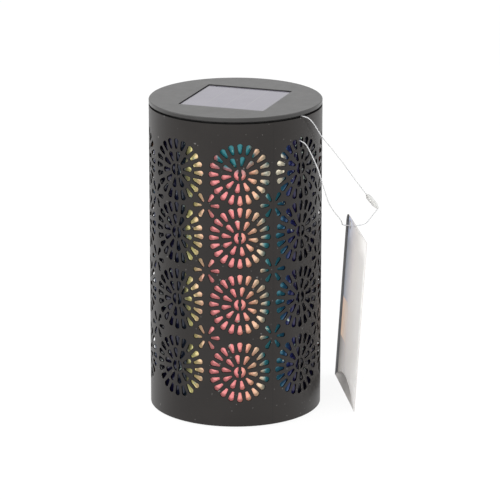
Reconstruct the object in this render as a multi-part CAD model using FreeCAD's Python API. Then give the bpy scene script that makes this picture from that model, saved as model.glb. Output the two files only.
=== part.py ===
import FreeCAD, Part

import math
import os

from FreeCAD import Vector

# A table lantern: a perforated sheet-metal tube over an iridescent sleeve, with a lift-off lid that
# carries a small solar panel and, under it, the battery, circuit board and lamp. A plain folded card
# hangs from it on a nylon loop.
# All sizes are in millimetres. +Z is up, and the origin is the middle of the footprint.

os.makedirs("parts", exist_ok=True)

# Shell
shell_radius = 41.0
sheet = 0.5
shell_height = 147.0
foot_proud = 0.5

# Pattern punched in the sheet, as seen from outside
columns = 8
row_heights = (123.4, 93.0, 60.6, 27.4)
outer_petals = 20
outer_petal_from = 9.9
outer_petal_to = 14.8
outer_petal_wide = 2.8
inner_petals = 10
inner_petal_from = 4.2
inner_petal_to = 8.8
inner_petal_wide = 2.6
centre_slot_radius = 2.8
centre_bar = 1.4
centre_disc_radius = 1.1
star_angles = (0, 58, 122, 180, 238, 302)
star_petal_from = 2.0
star_petal_to = 6.4
star_petal_wide = 2.1

# Sleeve behind the sheet
sleeve_gap = 1.6
sleeve_wall = 0.5

# Moulded plug in the foot of the tube
glue_gap = 0.1
plug_floor = 2.0
plug_rim_height = 6.0
plug_rim_wall = 1.2
plug_rib_height = 1.6
plug_rib_wall = 1.4
plug_rib_from = 8.0
plug_ribs = 8
seat_gap = 0.3

# Rubber feet
foot_radius = 4.0
foot_thickness = 1.0
foot_gap = 0.15
foot_circle = 31.0
feet = 4

# Moulded ring in the mouth of the tube
ring_height = 7.0
ring_flange = 1.6
ring_bore_radius = 36.9
thread_notch = 2.2
thread_angle = 67.5

# Lid moulding
lid_gap = 0.8
lid_thickness = 2.1
lid_chamfer = 0.35
spigot_gap = 0.5
spigot_wall = 1.5
spigot_depth = 6.0
spigot_ribs = 6
spigot_rib_proud = 0.2
spigot_rib_wide = 1.6
seal_width = 1.8
window_side = 42.2
window_corner = 0.8
recess_depth = 3.4
recess_floor = 1.4
recess_wall = 1.4
wire_hole_radius = 1.6
wire_hole_offset = 14.0
boss_radius = 3.0
boss_circle = 31.2
pilot_radius = 0.8
thread_gap = 0.05

# Solar panel
panel_gap = 0.4
tape_thickness = 0.4
tape_width = 5.0
panel_board = 1.2
cell_thickness = 0.3
cell_strips = 4
cell_gap = 0.8
cell_border = 1.6
glaze_thickness = 1.0

# Cup under the lid for battery, board and lamp
flange_radius = 34.2
flange_thickness = 2.0
cup_radius = 28.0
cup_wall = 1.6
cup_depth = 17.6
cup_floor = 1.6
cup_draft = 1.0
cradle_wall = 1.4
cradle_offset = 12.0
cradle_gap = 0.5
cradle_depth = 3.0
screw_head_radius = 2.4
screw_head_height = 1.2
screw_radius = 1.2
screw_gap = 0.2
screw_bite = 1.5

# Battery and its contacts
battery_radius = 5.25
battery_length = 43.5
battery_nub_radius = 1.9
battery_nub = 1.0
contact_sheet = 0.4
contact_width = 9.0
contact_gap = 0.1
spring_reach = 1.6

# Circuit board, lamp and switch
board_length = 30.0
board_width = 18.0
board_thickness = 1.0
board_margin = 1.0
board_lift = 1.6
post_radius = 1.6
post_inset = 2.0
chip_length = 5.0
chip_width = 4.0
chip_height = 1.2
leg_radius = 0.3
leg_gap = 0.1
leg_place = 1.27
leg_proud = 0.6
lamp_radius = 2.5
lamp_flange_radius = 2.9
lamp_flange = 1.0
lamp_length = 8.6
lamp_gap = 0.25
dome_radius = 9.0
dome_wall = 1.2
dome_flange_radius = 11.0
dome_flange = 1.2
switch_offset = 19.0
switch_length = 8.6
switch_width = 3.6
switch_lift = 0.2
switch_roof = 0.4
knob_length = 2.0
knob_width = 1.8
knob_height = 3.6
knob_travel = 2.0
knob_gap = 0.3

# Nylon loop of the hang tag: the points that its two strands follow, from the lantern to the lock
thread_radius = 0.25
upper_strand = (
    (36.9, -14.4, 147.9),
    (40.4, -14.7, 147.9),
    (41.8, -9.6, 143.9),
    (43.4, -2.2, 135.6),
    (45.0, 6.6, 128.6),
    (47.6, 18.0, 118.4),
    (50.6, 29.9, 106.4),
    (53.4, 38.2, 97.9),
)
lower_strand = (
    (36.62, -15.32, 136.4),
    (40.0, -16.3, 136.0),
    (41.4, -12.6, 130.4),
    (43.2, -7.2, 121.9),
    (45.0, -4.0, 112.6),
    (45.6, 1.5, 103.6),
    (45.2, 10.6, 96.6),
    (44.9, 22.2, 89.6),
    (42.6, 33.4, 84.2),
    (41.0, 39.0, 80.9),
    (50.6, 45.2, 80.2),
    (54.6, 41.3, 85.6),
    (58.7, 40.1, 90.9),
)
lock_radius = 1.3
lock_mouth = 0.5
lock_taper = 1.4

# Hang tag: a card folded in two, bellied out, standing on its lower edge beside the lantern
card_corner = (34.8, 50.3, 0.25)
card_heading = -62.83
card_lean = 3.55
card_width = 55.4
card_height = 84.0
card_belly = 3.4
card_stock = 0.4
card_glue = 3.2
card_hole_radius = 2.2
card_hole_along = 10.8
card_hole_up = 80.4

# Levels and radii that follow from the sizes above
shell_bottom = foot_proud
shell_top = shell_bottom + shell_height
shell_bore = shell_radius - sheet
lid_bottom = shell_top + lid_gap
lid_top = lid_bottom + lid_thickness
plug_bottom = foot_proud
plug_top = plug_bottom + plug_floor
moulding_radius = shell_bore - glue_gap
sleeve_radius = shell_bore - sleeve_gap
recess_bottom = lid_top - recess_depth
well_bottom = recess_bottom - recess_floor
panel_side = window_side - 2 * panel_gap
spigot_radius = ring_bore_radius - spigot_gap
flange_bottom = well_bottom - flange_thickness
cup_bottom = flange_bottom - cup_depth + flange_thickness
floor_top = cup_bottom + cup_floor
board_bottom = floor_top + board_lift
board_top = board_bottom + board_thickness
battery_height = well_bottom - flange_thickness - battery_radius
cup_bore = cup_radius - cup_wall


def disc(radius, low, high):
    return Part.makeCylinder(radius, high - low, Vector(0, 0, low))


def ring(outer, inner, low, high):
    return disc(outer, low, high).cut(disc(inner, low - 1, high + 1))


def block(length, width, low, high, x=0.0, y=0.0):
    corner = Vector(x - length / 2, y - width / 2, low)
    return Part.makeBox(length, width, high - low, corner)


def post(radius, low, high, x=0.0, y=0.0):
    return Part.makeCylinder(radius, high - low, Vector(x, y, low))


def bar(radius, start, end):
    """Round bar along X at the height of the battery."""
    return Part.makeCylinder(radius, end - start, Vector(start, 0, battery_height), Vector(1, 0, 0))


def turned(shape, angle):
    copy = shape.copy()
    copy.rotate(Vector(0, 0, 0), Vector(0, 0, 1), angle)
    return copy


def around(shape, count, start=0.0):
    return [turned(shape, start + 360 * k / count) for k in range(count)]


def revolved(section):
    corners = [Vector(radius, 0, z) for radius, z in section]
    face = Part.Face(Part.makePolygon(corners + corners[:1]))
    return face.revolve(Vector(0, 0, 0), Vector(0, 0, 1), 360)


def write(node, shape):
    shape.exportStep("parts/" + node + ".step")
    print(node, len(shape.Solids), "solids", round(shape.Volume, 1), "mm3")


# The punched pattern. An outline is given in millimetres across and up from the middle of its figure.

def petal(angle, start, end, wide):
    """A wedge that points at the middle of its rosette and is widest at its outer end."""
    turn = math.radians(angle)
    corners = ((start, 0), (end, -wide / 2), (end, wide / 2))
    return [
        (out * math.cos(turn) - side * math.sin(turn), out * math.sin(turn) + side * math.cos(turn))
        for out, side in corners
    ]


def centre_slot(side):
    """One half of the ring slot round the small disc in the middle, beside the upright bar."""
    edge = centre_bar / 2
    reach = math.sqrt(centre_slot_radius**2 - edge**2)
    points = [(edge, -reach), (centre_slot_radius, 0), (edge, reach), (centre_disc_radius, 0)]
    return [(side * across, up) for across, up in points]


def rosette(row):
    inner_turn = 360 / inner_petals
    first = inner_turn / 4 if row % 2 == 0 else inner_turn * 3 / 4
    figure = [
        petal(360 * k / outer_petals, outer_petal_from, outer_petal_to, outer_petal_wide)
        for k in range(outer_petals)
    ]
    figure += [
        petal(first + inner_turn * k, inner_petal_from, inner_petal_to, inner_petal_wide)
        for k in range(inner_petals)
    ]
    return figure + [centre_slot(1), centre_slot(-1)]


def punch(outline, angle, height):
    """Cutter square to the sheet at the middle of the hole, so that the arc length stays true."""
    across = sum(point[0] for point in outline) / len(outline)
    corners = [Vector(shell_bore - 1, x - across, z) for x, z in outline]
    tool = Part.Face(Part.makePolygon(corners + corners[:1])).extrude(Vector(sheet + 2, 0, 0))
    tool.rotate(Vector(0, 0, 0), Vector(0, 0, 1), angle + math.degrees(across / shell_radius))
    tool.translate(Vector(0, 0, height))
    return tool


def perforated_shell():
    """One panel of the pattern, between two plain strips, is punched and repeated round the tube."""
    span = 360 / columns
    outer = Part.makeCylinder(shell_radius, shell_height, Vector(0, 0, shell_bottom), Vector(0, 0, 1), span)
    panel = outer.cut(disc(shell_bore, shell_bottom - 1, shell_top + 1))
    tools = []
    for row, height in enumerate(row_heights):
        tools += [punch(outline, span / 2, height) for outline in rosette(row)]
    for upper, lower in zip(row_heights, row_heights[1:]):
        for angle in star_angles:
            outline = petal(angle, star_petal_from, star_petal_to, star_petal_wide)
            strip = 0 if outline[0][0] > 0 else span
            tools.append(punch(outline, strip, (upper + lower) / 2))
    panel = panel.cut(tools)
    # The view from -Y is zero degrees, and plain strips stand at 45 degree steps from it.
    panels = around(panel.Solids[0], columns)
    return panels[0].multiFuse(panels[1:]).Solids[0]


def sleeve():
    top = shell_top - ring_flange - seat_gap
    return ring(sleeve_radius, sleeve_radius - sleeve_wall, plug_top, top)


def foot_plug():
    """Floor with an upturned rim, stiffening ribs under the sleeve's floor and pockets for the feet."""
    plug = disc(moulding_radius, plug_bottom, plug_top)
    rim_top = plug_top + plug_rim_height
    rim = ring(moulding_radius, moulding_radius - plug_rim_wall, plug_top, rim_top)
    hub = ring(plug_rib_from, plug_rib_from - plug_rib_wall, plug_top, plug_top + plug_rib_height)
    rib_end = sleeve_radius - sleeve_wall - seat_gap
    length = rib_end - plug_rib_from + plug_rib_wall / 2
    middle = rib_end - length / 2
    rib = block(length, plug_rib_wall, plug_top, plug_top + plug_rib_height, x=middle)
    plug = plug.multiFuse([rim, hub] + around(rib, plug_ribs)).removeSplitter()
    pocket_top = foot_thickness
    pocket = Part.makeCylinder(foot_radius + foot_gap, pocket_top, Vector(foot_circle, 0, 0))
    return plug.cut(around(pocket, feet, 180 / feet))


def rubber_feet():
    foot = Part.makeCylinder(foot_radius, foot_thickness, Vector(foot_circle, 0, 0))
    return Part.makeCompound(around(foot, feet, 180 / feet))


def mouth_ring():
    """L-shaped ring that holds the top of the sleeve, with a notch that lets a thread over the rim."""
    low = shell_top - ring_height
    body = revolved((
        (ring_bore_radius, shell_top - ring_flange),
        (moulding_radius - plug_rim_wall, shell_top - ring_flange),
        (moulding_radius - plug_rim_wall, low),
        (moulding_radius, low),
        (moulding_radius, shell_top),
        (ring_bore_radius, shell_top),
    ))
    notch_middle = moulding_radius + plug_rim_wall / 2
    notch = block(3 * plug_rim_wall, thread_notch, low - 1, shell_top + 1, x=notch_middle)
    return body.cut(turned(notch, thread_angle - 90))


def lid_moulding():
    """Round plate with a square well for the panel, a ribbed spigot and four screw bosses."""
    plate = revolved((
        (0, lid_bottom),
        (shell_radius - lid_chamfer, lid_bottom),
        (shell_radius, lid_bottom + lid_chamfer),
        (shell_radius, lid_top - lid_chamfer),
        (shell_radius - lid_chamfer, lid_top),
        (0, lid_top),
    ))
    low = lid_bottom - spigot_depth
    spigot = revolved((
        (spigot_radius - spigot_wall, low),
        (spigot_radius - spigot_wall / 2, low),
        (spigot_radius, low + spigot_wall),
        (spigot_radius, lid_bottom),
        (spigot_radius - spigot_wall, lid_bottom),
    ))
    rib_low = low + spigot_wall
    rib_middle = spigot_radius - spigot_wall / 2 + spigot_rib_proud
    rib = block(spigot_wall, spigot_rib_wide, rib_low, lid_bottom, x=rib_middle)
    well_side = window_side + 2 * recess_wall
    well = block(well_side, well_side, well_bottom, lid_bottom)
    boss = post(boss_radius, well_bottom, lid_bottom, x=boss_circle)
    lid = plate.multiFuse([spigot, well] + around(rib, spigot_ribs, 15) + around(boss, 4)).removeSplitter()
    window = block(window_side, window_side, recess_bottom, lid_top + 1)
    upright = [edge for edge in window.Edges if abs(edge.Vertexes[0].Z - edge.Vertexes[1].Z) > 1]
    window = window.makeFillet(window_corner, upright)
    pilot = post(pilot_radius, well_bottom - 1, lid_bottom - 1, x=boss_circle)
    wire_hole = post(wire_hole_radius, well_bottom - 1, recess_bottom + 1, x=wire_hole_offset)
    return lid.cut([window, wire_hole] + around(pilot, 4))


def seal():
    outer = ring_bore_radius + spigot_gap + seal_width
    return ring(outer, outer - seal_width, shell_top, lid_bottom)


def panel_tape():
    """Square frame of foam tape that holds the panel down."""
    outer = block(panel_side, panel_side, recess_bottom, recess_bottom + tape_thickness)
    inner_side = panel_side - 2 * tape_width
    return outer.cut(block(inner_side, inner_side, recess_bottom - 1, recess_bottom + 1))


def panel_levels():
    board_low = recess_bottom + tape_thickness
    cell_low = board_low + panel_board
    glaze_low = cell_low + cell_thickness
    return board_low, cell_low, glaze_low


def panel_cells():
    """Four dark strips side by side, joined in line."""
    low, high = panel_levels()[1:]
    width = panel_side - 2 * cell_border
    strip = (width - (cell_strips - 1) * cell_gap) / cell_strips
    first = (strip - width) / 2
    return Part.makeCompound([
        block(strip, width, low, high, x=first + k * (strip + cell_gap)) for k in range(cell_strips)
    ])


def knob_slot(low, high):
    length = knob_length + knob_travel + 2 * knob_gap
    return block(length, knob_width + 2 * knob_gap, low, high, x=knob_travel / 2, y=switch_offset)


def module_cup():
    """Drawn cup with a screw flange, battery cradle, board posts and openings for lamp and switch."""
    cup = revolved((
        (0, cup_bottom),
        (cup_radius - cup_draft, cup_bottom),
        (cup_radius, flange_bottom),
        (flange_radius, flange_bottom),
        (flange_radius, well_bottom),
        (cup_bore, well_bottom),
        (cup_bore - cup_draft, floor_top),
        (0, floor_top),
    ))
    stand = board_width / 2 + cradle_gap + cradle_wall / 2
    corners = [(x, y) for x in (-1, 1) for y in (-1, 1)]
    legs = [
        block(cradle_wall, cradle_wall, floor_top, battery_height, x=x * cradle_offset, y=y * stand)
        for x, y in corners
    ]
    span = 2 * stand + cradle_wall
    bridges = [
        block(cradle_wall, span, battery_height - cradle_depth, battery_height, x=side * cradle_offset)
        for side in (-1, 1)
    ]
    bed = bar(battery_radius + seat_gap, -cup_radius, cup_radius)
    post_x, post_y = board_length / 2 - post_inset, board_width / 2 - post_inset
    posts = [post(post_radius, floor_top, board_bottom, x * post_x, y * post_y) for x, y in corners]
    cup = cup.multiFuse([piece.cut(bed) for piece in bridges] + legs + posts)
    lamp_hole = post(lamp_flange_radius + lamp_gap, cup_bottom - 1, floor_top + 1)
    slot = knob_slot(cup_bottom - 1, floor_top + 1)
    screw_way = post(screw_radius + screw_gap, flange_bottom - 1, well_bottom + 1, x=boss_circle)
    return cup.cut([lamp_hole, slot] + around(screw_way, 4)).removeSplitter()


def cup_screws():
    """Pan-head screws from below, with a cross recess in the head, into the bosses of the lid."""
    head = post(screw_head_radius, flange_bottom - screw_head_height, flange_bottom)
    shank = post(pilot_radius - thread_gap, flange_bottom, well_bottom + screw_bite)
    cross = [
        block(length, width, flange_bottom - screw_head_height - 1, flange_bottom - screw_head_height / 2)
        for length, width in ((2.6, 0.6), (0.6, 2.6))
    ]
    screw = head.fuse(shank).cut(cross)
    screw.translate(Vector(boss_circle, 0, 0))
    return Part.makeCompound(around(screw, 4))


def battery():
    end = battery_length / 2
    return bar(battery_radius, -end, end).fuse(bar(battery_nub_radius, end, end + battery_nub))


def contact_plate(x):
    low = battery_height - battery_radius
    return block(contact_sheet, contact_width, low, battery_height + battery_radius - 1, x=x)


def positive_contact():
    x = battery_length / 2 + battery_nub + contact_gap + contact_sheet / 2
    plate = contact_plate(x)
    tab = block(contact_sheet, 2.0, board_top, battery_height, x=x)
    return plate.fuse(tab).removeSplitter()


def negative_contact():
    """Flat plate with a bent tongue that presses on the bottom of the battery."""
    x = -(battery_length / 2 + contact_gap + spring_reach + contact_sheet / 2)
    plate = contact_plate(x)
    bend = prism_across((
        (x, battery_height - 3.4),
        (x + spring_reach, battery_height - 0.6),
        (x + spring_reach, battery_height + 0.6),
        (x, battery_height + 3.4),
        (x, battery_height + 2.6),
        (x + spring_reach - contact_sheet, battery_height),
        (x, battery_height - 2.6),
    ), 3.0)
    tab = block(contact_sheet, 2.0, board_top, battery_height, x=x)
    return plate.multiFuse([bend, tab]).removeSplitter()


def prism_across(points, width):
    corners = [Vector(x, -width / 2, z) for x, z in points]
    face = Part.Face(Part.makePolygon(corners + corners[:1]))
    return face.extrude(Vector(0, width, 0))


def circuit_board():
    board = block(board_length, board_width, board_bottom, board_top)
    reach = switch_offset + switch_width / 2 + board_margin
    ear = block(switch_length + 2 * board_margin, reach, board_bottom, board_top, y=reach / 2)
    way = leg_radius + leg_gap
    ways = [post(way, board_bottom - 1, board_top + 1, x=x) for x in (-leg_place, leg_place)]
    return board.fuse(ear).removeSplitter().cut(ways)


def board_parts():
    """Driver chip, coil and diode on the upper face of the board."""
    chip = block(chip_length, chip_width, board_top, board_top + chip_height, x=-6, y=-5.5)
    coil = Part.makeCylinder(2.0, chip_height + 0.3, Vector(6, -5.5, board_top))
    diode = block(3.4, 1.6, board_top, board_top + chip_height, x=6, y=5.5)
    return Part.makeCompound([chip, coil, diode])


def lamp():
    """Round-nosed lamp with its flange under the board and two short legs through it."""
    base = board_bottom - lamp_flange
    nose = base - lamp_length + lamp_flange + lamp_radius
    flange = disc(lamp_flange_radius, base, board_bottom)
    stem = disc(lamp_radius, nose, base)
    ball = Part.makeSphere(lamp_radius, Vector(0, 0, nose))
    leg_top = board_top + leg_proud
    legs = [post(leg_radius, board_bottom, leg_top, x=x) for x in (-leg_place, leg_place)]
    return flange.multiFuse([stem, ball] + legs).removeSplitter()


def diffuser():
    """Frosted dome over the lamp, with a flange against the underside of the cup."""
    centre = Vector(0, 0, cup_bottom - dome_flange)
    flange = disc(dome_flange_radius, cup_bottom - dome_flange, cup_bottom)
    solid = Part.makeSphere(dome_radius, centre).fuse(flange)
    hollow = Part.makeSphere(dome_radius - dome_wall, centre)
    keep = disc(2 * dome_radius, cup_bottom - 2 * dome_radius, cup_bottom)
    return solid.cut(hollow).common(keep)


def switch_body():
    body = block(switch_length, switch_width, floor_top + switch_lift, board_bottom, y=switch_offset)
    return body.cut(knob_slot(floor_top, board_bottom - switch_roof))


def switch_knob():
    """Small finger piece that slides from off to on and stands below the cup."""
    top = board_bottom - switch_roof - knob_gap
    return block(knob_length, knob_width, top - knob_height, top, y=switch_offset)


def strand(points):
    """Round thread of straight runs joined by tangent arcs, each as large as its two runs allow."""
    corners = [Vector(*point) for point in points]
    edges, radii, here = [], [], corners[0]
    for before, corner, after in zip(corners, corners[1:], corners[2:]):
        back, ahead = (before - corner).normalize(), (after - corner).normalize()
        reach = 0.45 * min((before - corner).Length, (after - corner).Length)
        half_turn = (math.pi - back.getAngle(ahead)) / 2
        start, end = corner + back * reach, corner + ahead * reach
        radius = reach / math.tan(half_turn)
        inward = (back + ahead).normalize()
        middle = corner + inward * (radius / math.cos(half_turn) - radius)
        edges += [Part.LineSegment(here, start).toShape(), Part.Arc(start, middle, end).toShape()]
        radii.append(round(radius, 1))
        here = end
    edges.append(Part.LineSegment(here, corners[-1]).toShape())
    path = Part.Wire(edges)
    circle = Part.Wire(Part.makeCircle(thread_radius, corners[0], corners[1] - corners[0]))
    sweep = Part.BRepOffsetAPI.MakePipeShell(path)
    sweep.add(circle)
    sweep.build()
    sweep.makeSolid()
    thread = sweep.shape()
    section = math.pi * thread_radius**2 * path.Length
    print("strand", round(path.Length, 1), "mm, radii", radii, "volume", round(thread.Volume / section, 4))
    return thread


def tag_lock():
    """Small nylon barrel, tapered at both ends, in which the two ends of the loop are locked."""
    top, foot = Vector(*upper_strand[-1]), Vector(*lower_strand[-1])
    length = (foot - top).Length
    barrel = revolved((
        (0, 0),
        (lock_mouth, 0),
        (lock_radius, lock_taper),
        (lock_radius, length - 2 * lock_taper),
        (lock_mouth, length),
        (0, length),
    ))
    barrel.Placement = FreeCAD.Placement(top, FreeCAD.Rotation(Vector(0, 0, 1), foot - top))
    return barrel


def hang_tag():
    """Two leaves of card, one straight and one bellied, joined at both upright edges and pierced."""
    def bow(margin, stock, low):
        start, end = Vector(margin, stock, low), Vector(card_width - margin, stock, low)
        crown = Vector(card_width / 2, card_belly - stock, low)
        chord, belly = Part.LineSegment(start, end).toShape(), Part.Arc(end, crown, start).toShape()
        return Part.Face(Part.Wire([chord, belly]))

    card = bow(0, 0, 0).extrude(Vector(0, 0, card_height))
    hollow = bow(card_glue, card_stock, -1)
    behind = Vector(card_hole_along, -card_belly, card_hole_up)
    hole = Part.makeCylinder(card_hole_radius, 3 * card_belly, behind, Vector(0, 1, 0))
    card = card.cut([hollow.extrude(Vector(0, 0, card_height + 2)), hole])
    card.rotate(Vector(0, 0, 0), Vector(1, 0, 0), -card_lean)
    card.rotate(Vector(0, 0, 0), Vector(0, 0, 1), card_heading)
    card.translate(Vector(*card_corner))
    return card


write("perforated_shell", perforated_shell())
write("colour_sleeve", sleeve())
write("foot_plug", foot_plug())
write("rubber_feet", rubber_feet())
write("mouth_ring", mouth_ring())
write("lid_moulding", lid_moulding())
write("lid_seal", seal())
write("panel_tape", panel_tape())
board_low, cell_low, glaze_low = panel_levels()
write("panel_board", block(panel_side, panel_side, board_low, cell_low))
write("panel_cells", panel_cells())
write("panel_glaze", block(panel_side, panel_side, glaze_low, glaze_low + glaze_thickness))
write("module_cup", module_cup())
write("cup_screws", cup_screws())
write("battery_cell", battery())
write("positive_contact", positive_contact())
write("negative_contact", negative_contact())
write("circuit_board", circuit_board())
write("board_parts", board_parts())
write("lamp", lamp())
write("lamp_diffuser", diffuser())
write("switch_body", switch_body())
write("switch_knob", switch_knob())
write("tag_thread_upper", strand(upper_strand))
write("tag_thread_lower", strand(lower_strand))
write("tag_lock", tag_lock())
write("hang_tag", hang_tag())
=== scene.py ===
import math

import bpy
from mathutils import Matrix, Vector
from mathutils.geometry import delaunay_2d_cdt


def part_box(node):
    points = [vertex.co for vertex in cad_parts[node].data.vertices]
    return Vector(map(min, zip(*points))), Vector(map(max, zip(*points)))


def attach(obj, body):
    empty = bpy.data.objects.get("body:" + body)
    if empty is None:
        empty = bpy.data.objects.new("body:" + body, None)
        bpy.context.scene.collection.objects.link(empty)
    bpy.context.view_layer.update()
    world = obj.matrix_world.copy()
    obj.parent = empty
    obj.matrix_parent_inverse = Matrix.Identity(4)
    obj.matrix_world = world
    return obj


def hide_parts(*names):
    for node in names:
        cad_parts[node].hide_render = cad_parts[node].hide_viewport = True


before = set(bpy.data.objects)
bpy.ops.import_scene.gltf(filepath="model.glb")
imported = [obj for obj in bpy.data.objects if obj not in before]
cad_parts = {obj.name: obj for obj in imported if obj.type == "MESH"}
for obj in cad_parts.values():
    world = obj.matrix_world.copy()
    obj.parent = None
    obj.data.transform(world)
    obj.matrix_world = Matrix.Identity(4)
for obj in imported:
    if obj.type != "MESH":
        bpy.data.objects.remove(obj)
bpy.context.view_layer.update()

# Camera
# A long lens from the front right and a little above, looking at the middle of the lantern's height.
# The small shift sets the lantern left of the middle, which leaves room for the tag.
lid_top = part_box("lid_moulding")[1][2]
view_azimuth = math.radians(19.654)
view_elevation = math.radians(16.545)
view_distance = 1.4362
aim = Vector((0, 0, lid_top / 2))
towards = Vector((
    math.sin(view_azimuth) * math.cos(view_elevation),
    -math.cos(view_azimuth) * math.cos(view_elevation),
    math.sin(view_elevation),
))
camera_data = bpy.data.cameras.new("camera")
camera_data.sensor_width = 36
camera_data.lens = 216.2
camera_data.shift_x = 0.0288
camera_data.shift_y = 0.0007
camera_data.clip_end = 20
camera = bpy.data.objects.new("camera", camera_data)
camera.location = aim + towards * view_distance
camera.rotation_euler = (-towards).to_track_quat("-Z", "Y").to_euler()
bpy.context.collection.objects.link(camera)
bpy.context.scene.camera = camera
bpy.context.scene.view_settings.view_transform = "Standard"


# Floor and light
# A white table top that runs out of sight under a white world. Three soft square lamps hang above
# the lantern, in front of it, on its left and on its right.
def nodes_of(material):
    material.use_nodes = True
    tree = material.node_tree
    return tree.nodes, tree.links, tree.nodes["Principled BSDF"]


def maths(nodes, links, operation, *values):
    """One step of arithmetic. Each value may be a number or a socket."""
    node = nodes.new("ShaderNodeMath")
    node.operation = operation
    for socket, value in zip(node.inputs, values):
        if isinstance(value, (int, float)):
            socket.default_value = value
        else:
            links.new(value, socket)
    return node.outputs[0]


def seen_directly(nodes, links):
    """1 for rays that show the background in the camera, a reflection or a clear piece."""
    ray = nodes.new("ShaderNodeLightPath").outputs
    first = maths(nodes, links, "MAXIMUM", ray["Is Camera Ray"], ray["Is Glossy Ray"])
    return maths(nodes, links, "MAXIMUM", first, ray["Is Transmission Ray"])


world = bpy.data.worlds.new("studio")
world.use_nodes = True
bpy.context.scene.world = world
world_nodes, world_links = world.node_tree.nodes, world.node_tree.links
backdrop = world_nodes["Background"]
backdrop.inputs["Color"].default_value = (1, 1, 1, 1)
level = world_nodes.new("ShaderNodeMapRange")
level.inputs["To Min"].default_value = 0.85
level.inputs["To Max"].default_value = 1.0
world_links.new(seen_directly(world_nodes, world_links), level.inputs["Value"])
world_links.new(level.outputs["Result"], backdrop.inputs["Strength"])

floor_half = 3.0
floor_corners = [(x * floor_half, y * floor_half, 0) for x, y in ((-1, -1), (1, -1), (1, 1), (-1, 1))]
floor_mesh = bpy.data.meshes.new("floor")
floor_mesh.from_pydata(floor_corners, [], [(0, 1, 2, 3)])
floor = bpy.data.objects.new("floor", floor_mesh)
bpy.context.collection.objects.link(floor)
floor_paint = bpy.data.materials.new("floor_white")
nodes, links, shader = nodes_of(floor_paint)
shader.inputs["Base Color"].default_value = (0.93, 0.93, 0.93, 1)
shader.inputs["Roughness"].default_value = 0.9
glow = nodes.new("ShaderNodeEmission")
glow.inputs["Strength"].default_value = 1.03
glow_share = 0.86
mix = nodes.new("ShaderNodeMixShader")
links.new(maths(nodes, links, "MULTIPLY", seen_directly(nodes, links), glow_share), mix.inputs[0])
links.new(shader.outputs[0], mix.inputs[1])
links.new(glow.outputs[0], mix.inputs[2])
links.new(mix.outputs[0], nodes["Material Output"].inputs["Surface"])
floor_mesh.materials.append(floor_paint)


def lamp(name, place, size, watts):
    data = bpy.data.lights.new(name, "AREA")
    data.shape = "RECTANGLE"
    data.size, data.size_y = size
    data.energy = watts
    light = bpy.data.objects.new(name, data)
    light.location = place
    light.rotation_euler = (aim - Vector(place)).to_track_quat("-Z", "Y").to_euler()
    bpy.context.collection.objects.link(light)


lamp("front_box", place=(-0.15, -1.05, 1.00), size=(1.0, 1.0), watts=7.0)
lamp("left_box", place=(-1.05, -0.30, 1.05), size=(1.0, 1.0), watts=6.0)
lamp("right_box", place=(1.05, 0.40, 1.05), size=(1.0, 1.0), watts=3.5)


# Perforated shell
# Sheet steel, punched flat with four rows of rosettes and small stars, painted charcoal and rolled
# into a tube with one upright seam. It stands on the foot plug and is fixed to it and to the ring.
shell_low, shell_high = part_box("perforated_shell")
shell_radius = shell_high[0]
sheet = 0.0005
edge_round = 0.00011
columns = 8
panel_width = 2 * math.pi * shell_radius / columns
row_heights = (0.1234, 0.0930, 0.0606, 0.0274)
# A petal's start and end, counted from the middle of its figure, and the radii of its round ends
outer_petal = (0.0099, 0.0148, 0.00072, 0.00134)
inner_petal = (0.0041, 0.0088, 0.0006, 0.00124)
star_petal = (0.0021, 0.0065, 0.00055, 0.00102)
outer_step, inner_step = 18, 36
star_angles = (0, 58, 122, 180, 238, 302)
mesh_tolerance = 1e-9


def arc(centre, radius, start, end, steps):
    return [
        (centre[0] + radius * math.cos(start + (end - start) * k / steps),
         centre[1] + radius * math.sin(start + (end - start) * k / steps))
        for k in range(steps + 1)
    ]


def teardrop(angle, start, end, narrow, wide):
    """Tapered slot with round ends that points at the middle of its figure."""
    turn = math.radians(angle)
    near, far = start + narrow, end - wide
    lean = math.acos((wide - narrow) / (far - near))
    points = arc((far, 0), wide, -lean, lean, steps=8)
    points += arc((near, 0), narrow, lean, 2 * math.pi - lean, steps=4)
    return [
        (x * math.cos(turn) - y * math.sin(turn), x * math.sin(turn) + y * math.cos(turn)) for x, y in points
    ]


def crescent(side):
    """Half of the ring slot round the small disc in the middle, beside the upright bar."""
    bar, ring, disc = 0.00068, 0.00282, 0.00112
    tip, notch = math.acos(bar / ring), math.acos(bar / disc)
    points = arc((0, 0), ring, -tip, tip, steps=9) + arc((0, 0), disc, notch, -notch, steps=4)
    return [(side * x, y) for x, y in points[::side]]


def rosette(row):
    """Two rings of petals round the ring slot. The inner ring is turned by half a step in odd rows."""
    figure = [teardrop(angle, *outer_petal) for angle in range(0, 360, outer_step)]
    first = outer_step // 2 + inner_step // 2 * (row % 2)
    figure += [teardrop(first + angle, *inner_petal) for angle in range(0, 360, inner_step)]
    return figure + [crescent(1), crescent(-1)]


def holes():
    """Outlines in the flat panel, which runs from one plain strip to the next."""
    found = []
    for row, height in enumerate(row_heights):
        found += [[(panel_width / 2 + x, height + z) for x, z in outline] for outline in rosette(row)]
    for upper, lower in zip(row_heights, row_heights[1:]):
        for angle in star_angles:
            outline = teardrop(angle, *star_petal)
            strip = 0 if outline[0][0] > 0 else panel_width
            found.append([(strip + x, (upper + lower) / 2 + z) for x, z in outline])
    return found


def grown(outline):
    """The outline pushed out by the rounding of the punched edge, and its normals into the hole."""
    count = len(outline)
    bigger, normals = [], []
    for k, (x, z) in enumerate(outline):
        before, after = outline[k - 1], outline[(k + 1) % count]
        run = Vector((after[0] - before[0], after[1] - before[1])).normalized()
        outward = Vector((run[1], -run[0]))
        bigger.append((x + outward[0] * edge_round, z + outward[1] * edge_round))
        normals.append((-outward[0], -outward[1]))
    return bigger, normals


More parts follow.
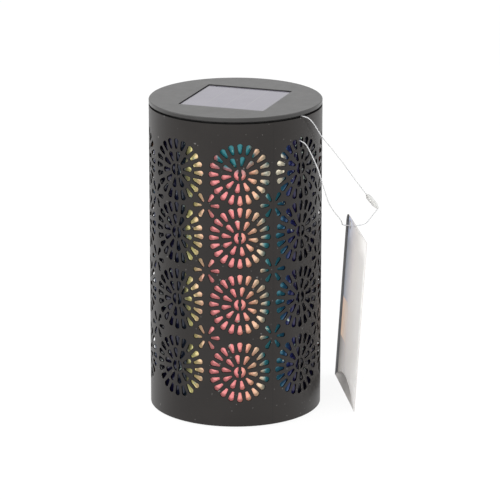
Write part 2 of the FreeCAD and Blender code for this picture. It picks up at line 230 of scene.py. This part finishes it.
def shell_mesh():
    """The flat panel with its holes, bent round the tube once for every column."""
    across_steps, up_steps = 15, 46
    height = shell_high[2] - shell_low[2]
    flat, loops = [], []
    for i in range(across_steps + 1):
        for j in range(up_steps + 1):
            flat.append((panel_width * i / across_steps, shell_low[2] + height * j / up_steps))
    bottom = range(0, len(flat), up_steps + 1)
    top = range(up_steps, len(flat), up_steps + 1)
    normals, true_places = {}, {}
    for outline in holes():
        bigger, inward = grown(outline)
        first = len(flat)
        for place, true_place, normal in zip(bigger, outline, inward):
            true_places[len(flat)] = true_place
            normals[len(flat)] = normal
            flat.append(place)
        loops.append(list(range(first, len(flat))))
    places, _, triangles, origin, _, hole_of = delaunay_2d_cdt(
        [Vector(place) for place in flat], [], loops, 0, mesh_tolerance)
    source = {k: old[0] for k, old in enumerate(origin) if old}
    number = {old: k for k, old in source.items()}
    kept = [face for face, inside in zip(triangles, hole_of) if not inside]
    verts, polygons, corner_normals = [], [], []
    for column in range(columns):
        start = math.radians(360 / columns * column)

        def bent(place, radius):
            angle = start + place[0] / shell_radius
            return (radius * math.cos(angle), radius * math.sin(angle), place[1])

        def radial(place, sign=1):
            angle = start + place[0] / shell_radius
            return (sign * math.cos(angle), sign * math.sin(angle), 0)

        def into_hole(old):
            angle = start + flat[old][0] / shell_radius
            across, up = normals[old]
            return (-across * math.sin(angle), across * math.cos(angle), up)

        base = len(verts)
        outer = {k: base + k for k in range(len(places))}
        verts += [bent(place, shell_radius) for place in places]
        inner = {k: base + len(places) + k for k in range(len(places))}
        for k, place in enumerate(places):
            verts.append(bent(true_places.get(source.get(k), place), shell_radius - sheet))
        lip = {}
        for old, true_place in true_places.items():
            lip[old] = len(verts)
            verts.append(bent(true_place, shell_radius - edge_round))
        for face in kept:
            polygons.append([outer[k] for k in face])
            corner_normals += [radial(places[k]) for k in face]
            polygons.append([inner[k] for k in reversed(face)])
            corner_normals += [radial(places[k], -1) for k in reversed(face)]
        for loop in loops:
            for a, b in zip(loop, loop[1:] + loop[:1]):
                polygons.append([outer[number[b]], outer[number[a]], lip[a], lip[b]])
                corner_normals += [radial(flat[b]), radial(flat[a]), into_hole(a), into_hole(b)]
                polygons.append([lip[b], lip[a], inner[number[a]], inner[number[b]]])
                corner_normals += [into_hole(b), into_hole(a), into_hole(a), into_hole(b)]
        for line, sign in ((bottom, -1), (top, 1)):
            for a, b in zip(line, line[1:]):
                corners = [outer[number[a]], outer[number[b]], inner[number[b]], inner[number[a]]]
                polygons.append(corners if sign > 0 else corners[::-1])
                corner_normals += [(0, 0, sign)] * 4
    mesh = bpy.data.meshes.new("shell")
    mesh.from_pydata(verts, [], polygons)
    mesh.validate()
    mesh.polygons.foreach_set("use_smooth", [True] * len(mesh.polygons))
    if len(mesh.loops) == len(corner_normals):
        mesh.normals_split_custom_set(corner_normals)
    return mesh


shell = bpy.data.objects.new("shell", shell_mesh())
bpy.context.collection.objects.link(shell)
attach(shell, "housing")
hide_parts("perforated_shell")


def angle_round(nodes, links):
    """Angle round the lantern in degrees, counted from the front (-Y) towards +X."""
    place = nodes.new("ShaderNodeTexCoord").outputs["Object"]
    parts = nodes.new("ShaderNodeSeparateXYZ")
    links.new(place, parts.inputs[0])
    back = maths(nodes, links, "MULTIPLY", parts.outputs["Y"], -1)
    turn = maths(nodes, links, "ARCTAN2", parts.outputs["X"], back)
    return maths(nodes, links, "DEGREES", turn), parts.outputs["Z"], place


def noise(nodes, links, vector, scale, detail=3.0, stretch=(1, 1, 1)):
    mapping = nodes.new("ShaderNodeMapping")
    mapping.inputs["Scale"].default_value = stretch
    texture = nodes.new("ShaderNodeTexNoise")
    texture.inputs["Scale"].default_value = scale
    texture.inputs["Detail"].default_value = detail
    links.new(vector, mapping.inputs["Vector"])
    links.new(mapping.outputs[0], texture.inputs["Vector"])
    return texture.outputs["Fac"]


def ramp(nodes, links, value, stops):
    """A colour ramp with the given (place, (r, g, b)) stops."""
    node = nodes.new("ShaderNodeValToRGB")
    elements = node.color_ramp.elements
    while len(elements) < len(stops):
        elements.new(0.5)
    for element, (place, colour) in zip(elements, stops):
        element.position = place
    for element, (place, colour) in zip(elements, stops):
        element.color = (*colour, 1)
    links.new(value, node.inputs[0])
    return node.outputs[0]


def wander(nodes, links, value, dark, light):
    """A colour that wanders between two with the value of a noise."""
    return ramp(nodes, links, value, ((0.3, dark), (0.7, light)))


def peaks(nodes, links, value, start, full, most):
    """0 below start, and most where the value is full or higher."""
    return ramp(nodes, links, value, ((start, (0, 0, 0)), (full, (most, most, most))))


def bump(nodes, links, shader, height, distance, strength=1.0):
    node = nodes.new("ShaderNodeBump")
    node.inputs["Strength"].default_value = strength
    node.inputs["Distance"].default_value = distance
    previous = shader.inputs["Normal"].links
    if previous:
        links.new(previous[0].from_socket, node.inputs["Normal"])
    links.new(height, node.inputs["Height"])
    links.new(node.outputs[0], shader.inputs["Normal"])


def blend(nodes, links, share, under, over):
    """The colour under, with over laid on it where share is 1. Either may be a socket."""
    mix = nodes.new("ShaderNodeMix")
    mix.data_type = "RGBA"
    for socket, colour in ((mix.inputs["A"], under), (mix.inputs["B"], over)):
        if isinstance(colour, tuple):
            socket.default_value = (*colour, 1)
        else:
            links.new(colour, socket)
    links.new(share, mix.inputs["Factor"])
    return mix.outputs["Result"]


def gloss(nodes, links, shader, value, smooth, dull):
    """Roughness that wanders between two values."""
    level = nodes.new("ShaderNodeMapRange")
    level.inputs["To Min"].default_value = smooth
    level.inputs["To Max"].default_value = dull
    links.new(value, level.inputs["Value"])
    links.new(level.outputs[0], shader.inputs["Roughness"])


seam_angle, seam_half = 45.0, 0.16
shell_paint = bpy.data.materials.new("charcoal_paint")
nodes, links, shader = nodes_of(shell_paint)
turn, _, spot = angle_round(nodes, links)
cloud = noise(nodes, links, spot, scale=45, detail=4)
paint = wander(nodes, links, cloud, dark=(0.0055, 0.0044, 0.0038), light=(0.0100, 0.0084, 0.0074))
rolled = noise(nodes, links, spot, scale=60, detail=3, stretch=(1, 1, 0.02))
# Faint pale upright streaks are painted sheen: they stand in for reflections on the slight creases of the
# rolled sheet. The same noise also sets the gloss and a bump.
painted_sheen_streaks = peaks(nodes, links, rolled, start=0.60, full=0.72, most=0.3)
paint = blend(nodes, links, painted_sheen_streaks, paint, (0.045, 0.042, 0.040))
dust = peaks(nodes, links, noise(nodes, links, spot, scale=900, detail=0), start=0.82, full=0.84, most=0.8)
paint = blend(nodes, links, dust, paint, (0.16, 0.155, 0.15))
seam = maths(nodes, links, "COMPARE", turn, seam_angle, seam_half)
paint = blend(nodes, links, seam, paint, (0.003, 0.003, 0.003))
links.new(paint, shader.inputs["Base Color"])
gloss(nodes, links, shader, rolled, smooth=0.34, dull=0.48)
shader.inputs["IOR"].default_value = 1.47
shader.inputs["Specular Tint"].default_value = (1.0, 0.95, 0.93, 1)
bump(nodes, links, shader, noise(nodes, links, spot, scale=2600, detail=2), distance=0.00003, strength=0.5)
bump(nodes, links, shader, rolled, distance=0.0002, strength=0.25)
shell.data.materials.append(shell_paint)


# Colour sleeve
# A tube of stiff glossy film that stands on the plug, close behind the sheet, and ends in the mouth ring.
# Its colour is painted reflection, three times round: pink and peach through teal where it mirrors the
# light, indigo and near black where it mirrors the dark. It also carries a faint glow, which is painted
# light.
def dress(node, material):
    """Give a CAD node its finished material."""
    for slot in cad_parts[node].material_slots:
        slot.material = material


repeat_angle = 120
repeat_start = 36
repeat_width = math.radians(repeat_angle) * shell_radius
waver_angle = 12.0
sleeve_film = bpy.data.materials.new("iridescent_film")
nodes, links, shader = nodes_of(sleeve_film)
turn, height, spot = angle_round(nodes, links)
waver = noise(nodes, links, spot, scale=60, detail=2)
shifted = maths(nodes, links, "MULTIPLY_ADD", waver, waver_angle, turn)
turns = maths(nodes, links, "MULTIPLY_ADD", shifted, 1 / repeat_angle, repeat_start / repeat_angle)
part = maths(nodes, links, "FLOORED_MODULO", turns, 1.0)
# This ramp paints reflections by angle round the sleeve: pink, peach and teal where the light is mirrored,
# indigo to near black where the dark is mirrored.
painted_reflection = ramp(nodes, links, part, (
    (0.00, (0.004, 0.004, 0.010)),
    (0.10, (0.008, 0.007, 0.034)),
    (0.20, (0.012, 0.020, 0.030)),
    (0.24, (0.80, 0.74, 0.30)),
    (0.31, (0.98, 0.66, 0.42)),
    (0.37, (0.95, 0.33, 0.33)),
    (0.53, (0.93, 0.29, 0.29)),
    (0.60, (0.96, 0.50, 0.33)),
    (0.66, (0.93, 0.70, 0.48)),
    (0.70, (0.05, 0.24, 0.27)),
    (0.79, (0.025, 0.13, 0.19)),
    (0.85, (0.022, 0.030, 0.13)),
    (0.89, (0.014, 0.010, 0.06)),
    (0.94, (0.004, 0.004, 0.010)),
))
unrolled = nodes.new("ShaderNodeCombineXYZ")
links.new(part, unrolled.inputs["X"])
links.new(maths(nodes, links, "DIVIDE", height, repeat_width), unrolled.inputs["Y"])
raggedness = 0.16
# Two ragged patches of painted reflection, a teal one and a cream one, in shares of the repeat: place,
# height in metres, inner and outer radius, reflection tint
for place, height_up, inner, outer, reflection_tint in (
    (0.50, 0.1335, 0.085, 0.125, (0.03, 0.20, 0.23)),
    (0.735, 0.1230, 0.050, 0.085, (0.93, 0.85, 0.66)),
):
    reach = nodes.new("ShaderNodeVectorMath")
    reach.operation = "DISTANCE"
    reach.inputs[1].default_value = (place, height_up / repeat_width, 0)
    links.new(unrolled.outputs[0], reach.inputs[0])
    torn = noise(nodes, links, spot, scale=110, detail=3)
    ragged = maths(nodes, links, "MULTIPLY_ADD", torn, raggedness, reach.outputs["Value"])
    edge = raggedness / 2
    painted_reflection_patch = ramp(nodes, links, ragged, ((inner + edge, (1, 1, 1)), (outer + edge, (0, 0, 0))))
    painted_reflection = blend(nodes, links, painted_reflection_patch, painted_reflection, reflection_tint)
# Small pale specks painted on the sleeve are painted glints of light.
painted_glints = peaks(nodes, links, noise(nodes, links, spot, scale=520, detail=1), start=0.70, full=0.74, most=0.7)
painted_reflection = blend(nodes, links, painted_glints, painted_reflection, (0.60, 0.75, 0.62))
links.new(painted_reflection, shader.inputs["Base Color"])
# The sleeve's glow is painted light: the emission brightens the painted reflection as if it were lit.
links.new(painted_reflection, shader.inputs["Emission Color"])
shader.inputs["Emission Strength"].default_value = 0.25
shader.inputs["Metallic"].default_value = 0.6
shader.inputs["Roughness"].default_value = 0.3
shader.inputs["Coat Weight"].default_value = 0.4
bump(nodes, links, shader, noise(nodes, links, spot, scale=220, detail=2), distance=0.0004, strength=0.4)
dress("colour_sleeve", sleeve_film)


# Foot plug
# The tray that closes the lower end, injection moulded in black plastic. Its rim carries the sheet,
# and its faces keep the fine spark-eroded grain of the mould.
def moulded(name, dark, light, smooth, dull, grain_size, grain_depth):
    """Surface with slow changes of colour and gloss over a fine grain."""
    material = bpy.data.materials.new(name)
    nodes, links, shader = nodes_of(material)
    spot = nodes.new("ShaderNodeTexCoord").outputs["Object"]
    colour = wander(nodes, links, noise(nodes, links, spot, scale=90), dark, light)
    links.new(colour, shader.inputs["Base Color"])
    gloss(nodes, links, shader, noise(nodes, links, spot, scale=240), smooth, dull)
    bump(nodes, links, shader, noise(nodes, links, spot, scale=1 / grain_size, detail=2), grain_depth)
    return material, nodes, links, shader, spot, colour


plug_plastic = moulded(
    "plug_plastic", dark=(0.010, 0.010, 0.010), light=(0.018, 0.017, 0.017),
    smooth=0.48, dull=0.62, grain_size=0.0005, grain_depth=0.00004)[0]
dress("foot_plug", plug_plastic)


# Rubber feet
# Four soft grey-black discs, die cut from foam rubber and glued into pockets under the plug. They
# are dull, and a pale dust sits in their open pores.
feet_rubber, nodes, links, shader, spot, colour = moulded(
    "feet_rubber", dark=(0.016, 0.016, 0.017), light=(0.030, 0.029, 0.029),
    smooth=0.78, dull=0.95, grain_size=0.0004, grain_depth=0.00008)
pores = peaks(nodes, links, noise(nodes, links, spot, scale=1800, detail=1), start=0.62, full=0.70, most=0.6)
links.new(blend(nodes, links, pores, colour, (0.09, 0.088, 0.085)), shader.inputs["Base Color"])
dress("rubber_feet", feet_rubber)


# Mouth ring
# A black moulded ring inside the upper end of the shell, a little glossier than the plug. It keeps
# the sheet round and holds the top of the sleeve, and the lid's spigot slides down into its bore.
ring_plastic = moulded(
    "ring_plastic", dark=(0.009, 0.009, 0.010), light=(0.016, 0.016, 0.016),
    smooth=0.34, dull=0.52, grain_size=0.0006, grain_depth=0.00003)[0]
dress("mouth_ring", ring_plastic)


# Lid
# A round black moulding with a satin top that looks grey against the light, and a few fine hairlines
# from handling. Its edge is a plain band, and a ribbed spigot below drops into the mouth ring.
lid_plastic, nodes, links, shader, spot, colour = moulded(
    "lid_plastic", dark=(0.024, 0.023, 0.022), light=(0.036, 0.035, 0.034),
    smooth=0.30, dull=0.38, grain_size=0.0004, grain_depth=0.00002)
scratches = noise(nodes, links, spot, scale=130, detail=2, stretch=(1, 0.012, 1))
hairlines = ramp(nodes, links, scratches, ((0.66, (0, 0, 0)), (0.69, (0.5, 0.5, 0.5)), (0.72, (0, 0, 0))))
links.new(blend(nodes, links, hairlines, colour, (0.10, 0.098, 0.095)), shader.inputs["Base Color"])
bump(nodes, links, shader, scratches, distance=0.00005, strength=0.3)
dress("lid_moulding", lid_plastic)


# Lid seal
# A thin ring of soft black rubber round the lid's spigot, between the lid's underside and the mouth
# ring. It is extruded, so faint lines run round it.
seal_rubber, nodes, links, shader, spot, colour = moulded(
    "seal_rubber", dark=(0.014, 0.014, 0.014), light=(0.024, 0.024, 0.024),
    smooth=0.62, dull=0.78, grain_size=0.0005, grain_depth=0.00004)
extruded = noise(nodes, links, spot, scale=900, detail=2, stretch=(0.05, 0.05, 1))
bump(nodes, links, shader, extruded, distance=0.00005, strength=0.6)
dress("lid_seal", seal_rubber)


# Solar panel
# A small panel sunk flush in the lid: foam tape, a dark-faced board, four dark strips of silicon
# with hair-fine silver fingers, and a cast cover that mirrors the room and shows the cells faintly.
tape_foam = moulded(
    "tape_foam", dark=(0.40, 0.40, 0.39), light=(0.52, 0.52, 0.50),
    smooth=0.85, dull=0.97, grain_size=0.0005, grain_depth=0.0001)[0]
dress("panel_tape", tape_foam)
panel_laminate = moulded(
    "panel_laminate", dark=(0.012, 0.013, 0.024), light=(0.020, 0.021, 0.034),
    smooth=0.3, dull=0.42, grain_size=0.0004, grain_depth=0.00002)[0]
dress("panel_board", panel_laminate)
finger_pitch, finger_width = 0.0016, 0.00012
strip_count, strip_gap = 4, 0.0008


def repeating(nodes, links, value, pitch, width):
    """1 on a line of that width at every pitch along the value."""
    fraction = maths(nodes, links, "FRACT", maths(nodes, links, "DIVIDE", value, pitch))
    return maths(nodes, links, "LESS_THAN", fraction, width / pitch)


def cell_face(nodes, links, spot, silicon, finger):
    """Silicon with silver fingers across it."""
    places = nodes.new("ShaderNodeSeparateXYZ")
    links.new(spot, places.inputs[0])
    fingers = repeating(nodes, links, places.outputs["Y"], finger_pitch, finger_width)
    return blend(nodes, links, fingers, silicon, finger), places


silicon, nodes, links, shader, spot, colour = moulded(
    "silicon", dark=(0.010, 0.012, 0.035), light=(0.020, 0.022, 0.055),
    smooth=0.22, dull=0.34, grain_size=0.0009, grain_depth=0.00001)
links.new(cell_face(nodes, links, spot, colour, (0.42, 0.42, 0.43))[0], shader.inputs["Base Color"])
shader.inputs["Metallic"].default_value = 0.25
dress("panel_cells", silicon)
# The cover's pale lilac tone is partly the laminate's own colour and partly a painted reflection of the
# room, as seen at a low angle.
cover_resin, nodes, links, shader, spot, colour = moulded(
    "cover_resin", dark=(0.052, 0.048, 0.070), light=(0.078, 0.072, 0.098),
    smooth=0.07, dull=0.13, grain_size=0.004, grain_depth=0.00002)
face, places = cell_face(nodes, links, spot, colour, (0.13, 0.13, 0.14))
cells_low, cells_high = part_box("panel_cells")
strip_pitch = (cells_high[0] - cells_low[0] + strip_gap) / strip_count
offset = maths(nodes, links, "SUBTRACT", places.outputs["X"], cells_low[0] - strip_gap)
joints = repeating(nodes, links, offset, strip_pitch, strip_gap)
links.new(blend(nodes, links, joints, face, (0.085, 0.082, 0.095)), shader.inputs["Base Color"])
shader.inputs["IOR"].default_value = 1.6
shader.inputs["Sheen Weight"].default_value = 0.4
shader.inputs["Sheen Roughness"].default_value = 0.4
shader.inputs["Sheen Tint"].default_value = (0.90, 0.86, 1.0, 1)
dress("panel_glaze", cover_resin)


# Module cup
# A black moulding with a screw flange that hangs under the lid. It holds the battery in a cradle
# and the circuit board on posts, and its floor is open for the lamp and the switch.
cup_plastic = moulded(
    "cup_plastic", dark=(0.011, 0.011, 0.011), light=(0.019, 0.019, 0.018),
    smooth=0.42, dull=0.58, grain_size=0.0006, grain_depth=0.00003)[0]
dress("module_cup", cup_plastic)


# Cup screws
# Four small pan-head screws with cross recesses, rolled from steel wire and zinc plated. They go up
# through the cup's flange into the bosses of the lid.
screw_zinc, nodes, links, shader, spot, colour = moulded(
    "screw_zinc", dark=(0.46, 0.46, 0.47), light=(0.62, 0.62, 0.62),
    smooth=0.28, dull=0.42, grain_size=0.0003, grain_depth=0.00001)
shader.inputs["Metallic"].default_value = 1.0
turned = noise(nodes, links, spot, scale=1500, detail=1, stretch=(0.1, 0.1, 1))
bump(nodes, links, shader, turned, distance=0.00002, strength=0.4)
dress("cup_screws", screw_zinc)


# Battery
# A rechargeable cell in the cup's cradle, in a green sleeve that was shrunk on with heat. Both ends
# of its nickel-plated steel can stay bare.
cell_wrap, nodes, links, shader, spot, colour = moulded(
    "cell_wrap", dark=(0.010, 0.16, 0.075), light=(0.016, 0.22, 0.10),
    smooth=0.24, dull=0.36, grain_size=0.0008, grain_depth=0.00003)
bare_end = 0.0016
wrap_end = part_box("battery_cell")[1][0] - bare_end
places = nodes.new("ShaderNodeSeparateXYZ")
links.new(spot, places.inputs[0])
from_middle = maths(nodes, links, "ABSOLUTE", places.outputs["X"])
ends = maths(nodes, links, "GREATER_THAN", from_middle, wrap_end)
links.new(blend(nodes, links, ends, colour, (0.60, 0.58, 0.54)), shader.inputs["Base Color"])
links.new(ends, shader.inputs["Metallic"])
dress("battery_cell", cell_wrap)


# Battery contacts
# Two strips of nickel-plated spring steel, stamped and bent. They stand on the circuit board, where
# they are soldered, and press on the ends of the cell.
contact_nickel, nodes, links, shader, spot, colour = moulded(
    "contact_nickel", dark=(0.56, 0.53, 0.48), light=(0.70, 0.67, 0.61),
    smooth=0.22, dull=0.36, grain_size=0.0004, grain_depth=0.00001)
shader.inputs["Metallic"].default_value = 1.0
drawn = noise(nodes, links, spot, scale=1200, detail=2, stretch=(1, 1, 0.04))
bump(nodes, links, shader, drawn, distance=0.00002, strength=0.4)
dress("positive_contact", contact_nickel)
dress("negative_contact", contact_nickel)


# Circuit board
# A small board of glass fibre and epoxy on the cup's posts. A green solder mask covers its copper
# tracks, which show as slightly paler raised lines.
track_pitch, track_width = 0.0022, 0.0006
solder_mask, nodes, links, shader, spot, colour = moulded(
    "solder_mask", dark=(0.008, 0.075, 0.030), light=(0.012, 0.10, 0.040),
    smooth=0.24, dull=0.34, grain_size=0.0007, grain_depth=0.00001)
places = nodes.new("ShaderNodeSeparateXYZ")
links.new(spot, places.inputs[0])
tracks = repeating(nodes, links, places.outputs["Y"], track_pitch, track_width)
links.new(blend(nodes, links, tracks, colour, (0.02, 0.16, 0.065)), shader.inputs["Base Color"])
bump(nodes, links, shader, tracks, distance=0.00003, strength=0.5)
dress("circuit_board", solder_mask)


# Parts on the board
# The driver chip, its coil and a diode, each moulded in dull black epoxy. They are soldered to the
# upper face of the board.
chip_epoxy = moulded(
    "chip_epoxy", dark=(0.012, 0.012, 0.013), light=(0.022, 0.022, 0.022),
    smooth=0.55, dull=0.72, grain_size=0.0002, grain_depth=0.00002)[0]
dress("board_parts", chip_epoxy)


# Lamp
# A round-nosed lamp cast in clear epoxy, soldered to the board by two short legs. Its lens hangs
# through the cup's floor.
def clear(name, dark, light, cloud_scale, cloud_detail, clearness, bending):
    """A clear or milky stuff that lets a share of the light through and bends it."""
    material = bpy.data.materials.new(name)
    nodes, links, shader = nodes_of(material)
    spot = nodes.new("ShaderNodeTexCoord").outputs["Object"]
    cloud = noise(nodes, links, spot, cloud_scale, cloud_detail)
    links.new(wander(nodes, links, cloud, dark, light), shader.inputs["Base Color"])
    shader.inputs["Transmission Weight"].default_value = clearness
    shader.inputs["IOR"].default_value = bending
    return material, nodes, links, shader, spot


lens_epoxy, nodes, links, shader, spot = clear(
    "lens_epoxy", dark=(0.93, 0.92, 0.86), light=(0.99, 0.98, 0.94),
    cloud_scale=300, cloud_detail=2, clearness=0.9, bending=1.53)
gloss(nodes, links, shader, noise(nodes, links, spot, scale=500, detail=2), smooth=0.04, dull=0.14)
dress("lamp", lens_epoxy)


# Lamp diffuser
# A thin dome over the lamp, moulded in frosted plastic, with a flange against the underside of the
# cup. It spreads the lamp's light onto the sleeve.
dome_frost, nodes, links, shader, spot = clear(
    "dome_frost", dark=(0.82, 0.82, 0.80), light=(0.92, 0.92, 0.90),
    cloud_scale=160, cloud_detail=3, clearness=0.45, bending=1.49)
gloss(nodes, links, shader, noise(nodes, links, spot, scale=700, detail=2), smooth=0.45, dull=0.65)
bump(nodes, links, shader, noise(nodes, links, spot, scale=2500, detail=1), distance=0.00003, strength=0.5)
dress("lamp_diffuser", dome_frost)


# Switch
# A small slide switch in a black case, soldered under the board. Its knob is moulded in white
# acetal, comes through the cup's floor and slides from off to on.
switch_case = moulded(
    "switch_case", dark=(0.014, 0.014, 0.014), light=(0.024, 0.024, 0.023),
    smooth=0.38, dull=0.5, grain_size=0.0003, grain_depth=0.00002)[0]
dress("switch_body", switch_case)
knob_acetal, nodes, links, shader, spot, colour = moulded(
    "knob_acetal", dark=(0.70, 0.70, 0.68), light=(0.80, 0.80, 0.78),
    smooth=0.34, dull=0.46, grain_size=0.0005, grain_depth=0.00002)
shader.inputs["Subsurface Weight"].default_value = 0.1
shader.inputs["Subsurface Scale"].default_value = 0.001
dress("switch_knob", knob_acetal)


# Tag loop
# One clear nylon thread of 0.5 mm. It comes out under the lid and again through a petal of the
# upper row, and hangs in two strands that are locked together in the small barrel.
upper_strand = (
    (0.0369, -0.0144, 0.1479), (0.0404, -0.0147, 0.1479), (0.0418, -0.0096, 0.1439),
    (0.0434, -0.0022, 0.1356), (0.0450, 0.0066, 0.1286), (0.0476, 0.0180, 0.1184),
    (0.0506, 0.0299, 0.1064), (0.0534, 0.0382, 0.0979),
)
lower_strand = (
    (0.03662, -0.01532, 0.1364), (0.0400, -0.0163, 0.1360), (0.0414, -0.0126, 0.1304),
    (0.0432, -0.0072, 0.1219), (0.0450, -0.0040, 0.1126), (0.0456, 0.0015, 0.1036),
    (0.0452, 0.0106, 0.0966), (0.0449, 0.0222, 0.0896), (0.0426, 0.0334, 0.0842),
    (0.0410, 0.0390, 0.0809), (0.0506, 0.0452, 0.0802), (0.0546, 0.0413, 0.0856),
    (0.0587, 0.0401, 0.0909),
)
thread_thickness = 0.0005
nylon_clearness, nylon_bending = 0.35, 1.53
thread_nylon, nodes, links, shader, spot = clear(
    "thread_nylon", dark=(0.86, 0.87, 0.88), light=(0.96, 0.96, 0.96),
    cloud_scale=400, cloud_detail=2, clearness=nylon_clearness, bending=nylon_bending)
gloss(nodes, links, shader, noise(nodes, links, spot, scale=900, detail=1), smooth=0.18, dull=0.32)


def strand(name, route):
    curve = bpy.data.curves.new(name, "CURVE")
    curve.dimensions = "3D"
    curve.resolution_u = 10
    curve.bevel_depth = thread_thickness / 2
    curve.bevel_resolution = 3
    curve.use_fill_caps = True
    spline = curve.splines.new("NURBS")
    spline.points.add(len(route) - 1)
    for point, place in zip(spline.points, route):
        point.co = (*place, 1)
    spline.order_u = 3
    spline.use_endpoint_u = True
    curve.materials.append(thread_nylon)
    thread = bpy.data.objects.new(name, curve)
    bpy.context.collection.objects.link(thread)
    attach(thread, "housing")
    return thread


upper_thread = strand("upper_thread", upper_strand)
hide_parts("tag_thread_upper")
lower_thread = strand("lower_thread", lower_strand)
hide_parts("tag_thread_lower")


# Thread lock
# The small barrel, tapered at both ends, in which the loop's two ends are locked. It is moulded in
# the same clear nylon as the thread.
lock_nylon, nodes, links, shader, spot, colour = moulded(
    "lock_nylon", dark=(0.78, 0.78, 0.76), light=(0.88, 0.88, 0.86),
    smooth=0.28, dull=0.4, grain_size=0.0004, grain_depth=0.00002)
shader.inputs["Transmission Weight"].default_value = nylon_clearness
shader.inputs["IOR"].default_value = nylon_bending
dress("tag_lock", lock_nylon)


# Hang tag
# Two leaves of coated white card, joined at both upright edges and punched for the thread. The far
# leaf is bowed, and the near one is cut away in an arch at its foot.
card_place = Matrix.Translation((0.0348, 0.0503, 0.00025))
card_place @= Matrix.Rotation(math.radians(-62.83), 4, "Z") @ Matrix.Rotation(math.radians(-3.55), 4, "X")
card_width, card_height, card_stock, card_belly = 0.0554, 0.084, 0.0002, 0.0034
card_corner, card_arch = 0.0045, 0.0085
card_hole, card_hole_radius = (0.0108, 0.0804), 0.0022


def card_outline(arch):
    """A leaf's edge with its far upper corner rounded and its foot raised to an arch."""
    steps = 20
    foot = [(card_width * k / steps, 4 * arch * (k / steps) * (1 - k / steps)) for k in range(steps + 1)]
    corner = arc((card_corner, card_height - card_corner), card_corner, math.pi / 2, math.pi, steps=8)
    return foot + [(card_width, card_height)] + corner


def card_leaf(name, arch, belly, side):
    """One leaf. side is -1 where its print faces -Y of the card, and 1 where it faces +Y."""
    edge = card_outline(arch)
    hole = arc(card_hole, card_hole_radius, 0, 2 * math.pi, steps=24)[:-1]
    across_steps, up_steps = 16, 8
    above_arch = arch * 1.1
    inside = [
        (card_width * i / across_steps, card_height * j / up_steps)
        for i in range(1, across_steps) for j in range(1, up_steps)
        if card_height * j / up_steps > above_arch
    ]
    flat = edge + hole + inside
    loops = [list(range(len(edge))), list(range(len(edge), len(edge) + len(hole)))]
    places, _, triangles, _, _, face_of = delaunay_2d_cdt(
        [Vector(place) for place in flat], [], loops, 0, mesh_tolerance)
    kept = [face for face, inside_of in zip(triangles, face_of) if inside_of == [0]]

    def bent(place, depth):
        share = place[0] / card_width
        swell = 4 * belly * share * (1 - share) * math.sin(math.pi * place[1] / card_height)
        return card_place @ Vector((place[0], swell + depth, place[1]))

    printed = -2 * card_stock if side < 0 else 0
    bare = -card_stock
    verts = [bent(place, printed) for place in places] + [bent(place, bare) for place in places]
    polygons, finishes = [], []
    for face in kept:
        outer = face if side < 0 else face[::-1]
        polygons += [outer, [k + len(places) for k in outer[::-1]]]
        finishes += [0, 1]
    for loop in (loops[0], loops[1][::-1]):
        for a, b in zip(loop, loop[1:] + loop[:1]):
            wall = [a, b, b + len(places), a + len(places)]
            polygons.append(wall[::-1] if side < 0 else wall)
            at_border = max(places[a][0], places[b][0]) < card_corner / 3
            finishes.append(0 if at_border else 1)
    mesh = bpy.data.meshes.new(name)
    mesh.from_pydata(verts, [], polygons)
    mesh.materials.append(card_print)
    mesh.materials.append(card_bare)
    for polygon, finish in zip(mesh.polygons, finishes):
        polygon.material_index = finish
        polygon.use_smooth = finish == 0
    leaf = bpy.data.objects.new(name, mesh)
    bpy.context.collection.objects.link(leaf)
    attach(leaf, "housing")
    return leaf


card_bare = moulded(
    "card_bare", dark=(0.62, 0.60, 0.58), light=(0.74, 0.72, 0.70),
    smooth=0.7, dull=0.85, grain_size=0.0003, grain_depth=0.00003)[0]
card_print, nodes, links, shader, spot, colour = moulded(
    "card_print", dark=(0.93, 0.91, 0.89), light=(0.97, 0.955, 0.94),
    smooth=0.5, dull=0.62, grain_size=0.0006, grain_depth=0.00002)
laid = nodes.new("ShaderNodeMapping")
laid.vector_type = "TEXTURE"
laid.inputs["Location"].default_value = card_place.to_translation()
laid.inputs["Rotation"].default_value = card_place.to_euler()
laid.inputs["Scale"].default_value = (card_width, card_width, card_height)
links.new(spot, laid.inputs["Vector"])
card_axes = nodes.new("ShaderNodeSeparateXYZ")
links.new(laid.outputs[0], card_axes.inputs[0])
along, up = card_axes.outputs["X"], card_axes.outputs["Z"]
fade = ramp(nodes, links, along, (
    (0.16, (0.95, 0.95, 0.95)),
    (0.32, (0.40, 0.40, 0.40)),
    (0.50, (0, 0, 0)),
))
# Soft bands of slate and peach, from the foot of the card to its top
bands = ramp(nodes, links, up, (
    (0.00, (0.50, 0.46, 0.42)),
    (0.20, (0.26, 0.24, 0.23)),
    (0.275, (0.28, 0.26, 0.25)),
    (0.285, (0.84, 0.60, 0.42)),
    (0.51, (0.82, 0.58, 0.43)),
    (0.52, (0.36, 0.40, 0.48)),
    (0.85, (0.26, 0.30, 0.37)),
    (1.00, (0.55, 0.62, 0.82)),
))
print_colour = blend(nodes, links, fade, colour, bands)
border = ramp(nodes, links, along, ((0.12, (1, 1, 1)), (0.14, (0, 0, 0))))
card_face = blend(nodes, links, border, print_colour, (0.03, 0.03, 0.034))
links.new(card_face, shader.inputs["Base Color"])
# The faint glow stands in for the light that comes through the thin card
links.new(card_face, shader.inputs["Emission Color"])
shader.inputs["Emission Strength"].default_value = 0.22
shader.inputs["Specular IOR Level"].default_value = 0.2
bump(nodes, links, shader, noise(nodes, links, spot, scale=60, detail=2), distance=0.0006, strength=0.25)
near_leaf = card_leaf("tag_near_leaf", card_arch, belly=0.0, side=-1)
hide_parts("hang_tag")
card_leaf("tag_far_leaf", arch=0.0, belly=card_belly, side=1)
